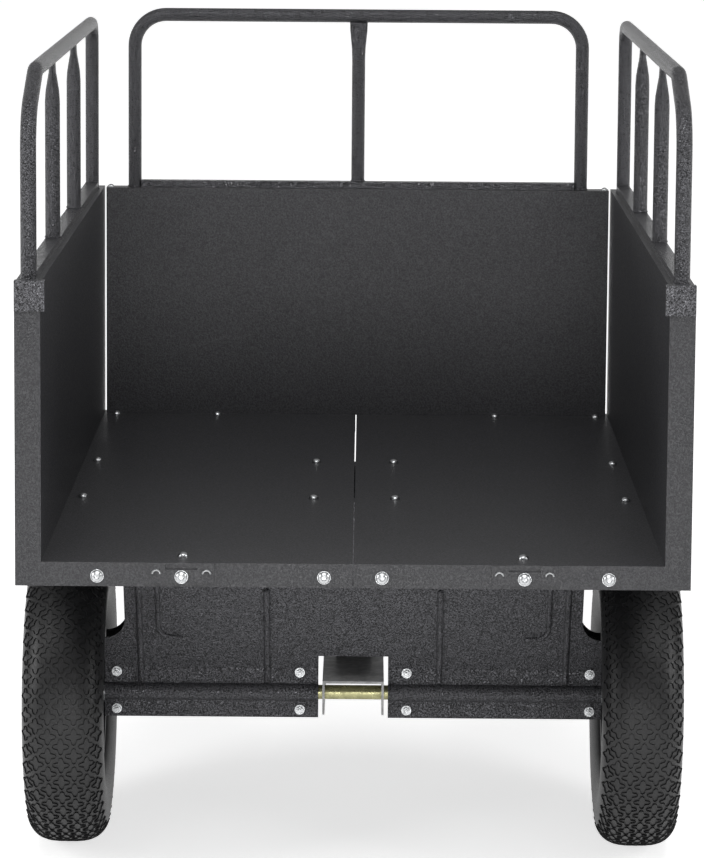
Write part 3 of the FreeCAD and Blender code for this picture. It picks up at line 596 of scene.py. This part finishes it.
class CART_OT_pressings(bpy.types.Operator):
    """Beads and corner steps pressed in the axle panels"""

    bl_idname = "cart.pressings"
    bl_label = "Pressings"

    def execute(self, context):
        radius = context.scene.cart_sizes.bead_radius
        high_end = level_box("front_axle_panel")[1].z - 0.006
        for end, sign in (("rear", -1), ("front", 1)):
            mesh = bmesh.new()
            for x, top in ((OUTER_BEAD_X, high_end), (INNER_BEAD_X, INNER_BEAD_TOP)):
                for hand in (-1, 1):
                    across = Vector((hand * x, 0, 0))
                    slope = top - PANEL_CREASE
                    heights = [0.014, 0.022] + [PANEL_CREASE + slope * k / 4 for k in range(5)]
                    tube_along(mesh, [across + web_point(sign, h) for h in heights], radius)
            for hand in (-1, 1):
                straight = Vector((hand * CORNER_STEP_X, 0, 0))
                points = [straight + web_point(sign, h) for h in CORNER_STEP_HEIGHTS]
                bend, knee = CORNER_STEP_BEND, CORNER_STEP_HEIGHTS[-1]
                for k in range(1, 6):
                    a = math.pi / 2 * k / 5
                    across = Vector((hand * (CORNER_STEP_X - bend * (1 - math.cos(a))), 0, 0))
                    points.append(across + web_point(sign, knee - bend * math.sin(a)))
                points.append(Vector((hand * CORNER_STEP_END, 0, 0)) + web_point(sign, 0.0785))
                tube_along(mesh, points, radius * 0.8)
            finish_piece(mesh, f"{end}_panel_beads", "bed", "dark_paint")
        return {"FINISHED"}


# ---------------------------------------------------------------- rails
class CART_OT_rails(bpy.types.Operator):
    """Inner posts with flattened heads, and the welds at the rails' feet"""

    bl_idname = "cart.rails"
    bl_label = "Rails"

    def execute(self, context):
        posts = [(f"{side}_rail_{end}_post", "x") for side in SIDES for end in ("rear", "front")]
        posts.append(("front_rail_post", "y"))
        weld = context.scene.cart_sizes.weld_radius
        welds = bmesh.new()
        for node, thin in posts:
            low, high = level_box(node)
            centre = (low + high) / 2
            radius = (high.x - low.x) / 2
            mesh = bmesh.new()
            rings = []
            length = high.z - low.z
            for share, squash in ((0, 0), (0.3, 0), (0.6, 0), (0.78, 0), (0.84, 0.15), (0.9, 0.55),
                                  (0.95, 0.9), (1.0, 1.0)):
                narrow, wide = 1 - 0.56 * squash, 1 + 0.34 * squash
                made = bmesh.ops.create_circle(
                    mesh, cap_ends=share in (0, 1.0), segments=32, radius=radius,
                    matrix=Matrix.Translation((centre.x, centre.y, low.z + length * share)))
                scale = (narrow, wide, 1) if thin == "x" else (wide, narrow, 1)
                bmesh.ops.scale(
                    mesh, vec=scale, verts=made["verts"],
                    space=Matrix.Translation(-Vector((centre.x, centre.y, 0))))
                rings.append(made["verts"])
            for first, second in zip(rings, rings[1:]):
                for i in range(32):
                    j = (i + 1) % 32
                    mesh.faces.new((first[i], first[j], second[j], second[i]))
            bmesh.ops.recalc_face_normals(mesh, faces=mesh.faces)
            finish_piece(mesh, f"{node}_flattened", "bed", "rail_paint", replaced=(node,))
            self.ring(welds, Vector((centre.x, centre.y, low.z)), radius, weld)
        for side in SIDES:
            low, high = level_box(f"{side}_rail_hoop")
            radius = (high.x - low.x) / 2
            middle = (low.x + high.x) / 2
            for y in (low.y + radius, high.y - radius):
                self.ring(welds, Vector((middle, y, low.z)), radius, weld)
        low, high = level_box("front_rail_hoop")
        radius = (high.y - low.y) / 2
        for x in (low.x + radius, high.x - radius):
            self.ring(welds, Vector((x, (low.y + high.y) / 2, low.z)), radius, weld)
        finish_piece(welds, "rail_welds", "bed", "rail_paint")
        return {"FINISHED"}

    def ring(self, mesh, place, radius, weld):
        """Weld bead round a post's foot."""
        points = [
            (radius - weld * 0.4 + weld * math.cos(a), weld * 0.6 + weld * math.sin(a))
            for a in [math.tau * k / 8 for k in range(8)]
        ]
        ring = bmesh.new()
        revolve(ring, points, 28, closed=True)
        add_mesh(mesh, ring, Matrix.Translation(place))
        ring.free()


# ---------------------------------------------------------------- catches
class CART_OT_catches(bpy.types.Operator):
    """Struck ears of the tailgate catches, in bright zinc as painted highlights on the catches"""

    bl_idname = "cart.catches"
    bl_label = "Catches"

    def execute(self, context):
        mesh = bmesh.new()
        for side in SIDES:
            low, high = level_box(f"{side}_gate_catch")
            middle = (low.x + high.x) / 2
            for hand in (-1, 1):
                centre = Vector((middle + hand * 0.0295, low.y, high.z - 0.0125))
                arch = [
                    centre + Vector((0.0048 * math.cos(a), -0.0005, 0.0042 * math.sin(a)))
                    for a in [math.pi * k / 8 for k in range(9)]
                ]
                tube_along(mesh, arch, 0.0012, 8)
        # Bright zinc on the ears stands in for the bright glints at the catches' ends: painted highlight
        finish_piece(mesh, "catch_ears_painted_highlight", "bed", "bright_zinc")
        return {"FINISHED"}


# ---------------------------------------------------------------- finishes of the CAD nodes
class CART_OT_finishes(bpy.types.Operator):
    """Paint and plating on every CAD node"""

    bl_idname = "cart.finishes"
    bl_label = "Finishes"

    def execute(self, context):
        materials.update(make_materials(context.scene.cart_colours))
        slots = {s["node"]: s["material_slot"] for s in RECORD["subparts"]}
        for name, node in frame["nodes"].items():
            finish = slots[name]
            if finish == "dark_paint" and "_rail_" in name and "cross" not in name:
                finish = "rail_paint"
            # The floor and the walls take the copy of the paint darkened as painted shade inside the bed
            if name in ("left_wall", "right_wall", "front_wall", "floor_left", "floor_right"):
                finish = "shaded_sheet_paint"
            # The gate catches also take the paint darkened as painted shade
            if name.endswith("gate_catch"):
                finish = "shaded_sheet_paint"
            node.data.materials.clear()
            node.data.materials.append(materials[finish])
        return {"FINISHED"}


# ---------------------------------------------------------------- stage
def area_lamp(name, place, target, size, power):
    data = bpy.data.lights.new(name, "AREA")
    data.shape = "RECTANGLE"
    data.size, data.size_y = size
    data.energy = power
    lamp = bpy.data.objects.new(name, data)
    lamp.location = place
    lamp.rotation_mode = "QUATERNION"
    lamp.rotation_quaternion = (Vector(target) - Vector(place)).to_track_quat("-Z", "Y")
    bpy.context.scene.collection.objects.link(lamp)


class CART_OT_stage(bpy.types.Operator):
    """Pale floor, soft studio light and the camera behind the cart"""

    bl_idname = "cart.stage"
    bl_label = "Stage"

    camera_place = Vector((0.0106, -5.511, 1.178))
    camera_turn = (8.522, -0.152, 0.423)
    camera_lens = 178.3

    def execute(self, context):
        scene = context.scene
        scene.view_settings.view_transform = "Standard"
        self.camera(scene)
        self.floor()
        self.world(scene)
        area_lamp("key_lamp", (0.0, -2.2, 4.2), (0, 0.1, 0.4), (3.0, 2.0), 90)
        area_lamp("left_lamp", (-3.6, -1.6, 2.0), (0, 0, 0.5), (1.4, 2.0), 60)
        area_lamp("right_lamp", (3.6, -1.6, 2.0), (0, 0, 0.5), (1.4, 2.0), 50)
        area_lamp("rear_lamp", (0.0, -4.8, 0.9), (0, -0.4, 0.3), (1.6, 0.6), 24)
        return {"FINISHED"}

    def camera(self, scene):
        pitch, yaw, roll = [math.radians(a) for a in self.camera_turn]
        forward = Vector((
            math.sin(yaw) * math.cos(pitch), math.cos(yaw) * math.cos(pitch), -math.sin(pitch)))
        right = Vector((math.cos(yaw), -math.sin(yaw), 0))
        up = right.cross(forward)
        across = right * math.cos(roll) + up * math.sin(roll)
        upward = up * math.cos(roll) - right * math.sin(roll)
        turn = Matrix((across, upward, -forward)).transposed().to_4x4()
        data = bpy.data.cameras.new("camera")
        data.sensor_width = 36.0
        data.lens = self.camera_lens
        camera = bpy.data.objects.new("camera", data)
        camera.matrix_world = PARKED @ Matrix.Translation(self.camera_place) @ turn
        scene.collection.objects.link(camera)
        scene.camera = camera

    def floor(self):
        mesh = bmesh.new()
        bmesh.ops.create_grid(mesh, x_segments=1, y_segments=1, size=40.0)
        data = bpy.data.meshes.new("floor")
        mesh.to_mesh(data)
        mesh.free()
        floor = bpy.data.objects.new("floor", data)
        bpy.context.scene.collection.objects.link(floor)
        material = bpy.data.materials.new("pale floor")
        material.use_nodes = True
        tree = material.node_tree
        shader = tree.nodes["Principled BSDF"]
        shader.inputs["Base Color"].default_value = (0.92, 0.92, 0.92, 1)
        shader.inputs["Roughness"].default_value = 0.9
        shader.inputs["Specular IOR Level"].default_value = 0.1
        path = add_node(tree, "ShaderNodeLightPath", (-600, -200))
        seen = add_node(tree, "ShaderNodeMath", (-400, -200), operation="MAXIMUM")
        lift = add_node(tree, "ShaderNodeMath", (-200, -200), operation="MULTIPLY")
        lift.inputs[1].default_value = 0.62
        tree.links.new(path.outputs["Is Camera Ray"], seen.inputs[0])
        tree.links.new(path.outputs["Is Glossy Ray"], seen.inputs[1])
        tree.links.new(seen.outputs["Value"], lift.inputs[0])
        shader.inputs["Emission Color"].default_value = (1, 1, 1, 1)
        tree.links.new(lift.outputs["Value"], shader.inputs["Emission Strength"])
        data.materials.append(material)

    def world(self, scene):
        world = bpy.data.worlds.new("studio")
        scene.world = world
        world.use_nodes = True
        tree = world.node_tree
        light = tree.nodes["Background"]
        light.inputs["Color"].default_value = (1, 1, 1, 1)
        path = add_node(tree, "ShaderNodeLightPath", (-600, 0))
        seen = add_node(tree, "ShaderNodeMath", (-400, 0), operation="MAXIMUM")
        level = add_node(tree, "ShaderNodeMapRange", (-200, 0))
        level.inputs["To Min"].default_value = 0.34
        level.inputs["To Max"].default_value = 1.0
        tree.links.new(path.outputs["Is Camera Ray"], seen.inputs[0])
        tree.links.new(path.outputs["Is Transmission Ray"], seen.inputs[1])
        tree.links.new(seen.outputs["Value"], level.inputs["Value"])
        tree.links.new(level.outputs["Result"], light.inputs["Strength"])


class CART_PT_panel(bpy.types.Panel):
    """Lists the cart's steps and settings"""

    bl_idname = "CART_PT_panel"
    bl_label = "Dump cart"
    bl_space_type = "VIEW_3D"
    bl_region_type = "UI"
    bl_category = "Dump cart"

    def draw(self, context):
        for group in (context.scene.cart_sizes, context.scene.cart_colours):
            for name in group.bl_rna.properties.keys():
                if name not in ("rna_type", "name"):
                    self.layout.prop(group, name)
        for operator in OPERATORS:
            self.layout.operator(operator.bl_idname)


OPERATORS = (
    CART_OT_finishes, CART_OT_tyres, CART_OT_wheel_fittings, CART_OT_fasteners,
    CART_OT_pressings, CART_OT_rails, CART_OT_catches, CART_OT_stage,
)


def register():
    for item in (CartSizes, CartColours, *OPERATORS, CART_PT_panel):
        bpy.utils.register_class(item)
    bpy.types.Scene.cart_sizes = bpy.props.PointerProperty(type=CartSizes)
    bpy.types.Scene.cart_colours = bpy.props.PointerProperty(type=CartColours)


def unregister():
    del bpy.types.Scene.cart_sizes
    del bpy.types.Scene.cart_colours
    for item in reversed((CartSizes, CartColours, *OPERATORS, CART_PT_panel)):
        bpy.utils.unregister_class(item)


def main():
    register()
    for operator in OPERATORS:
        group, name = operator.bl_idname.split(".")
        getattr(getattr(bpy.ops, group), name)()


if __name__ == "__main__":
    main()
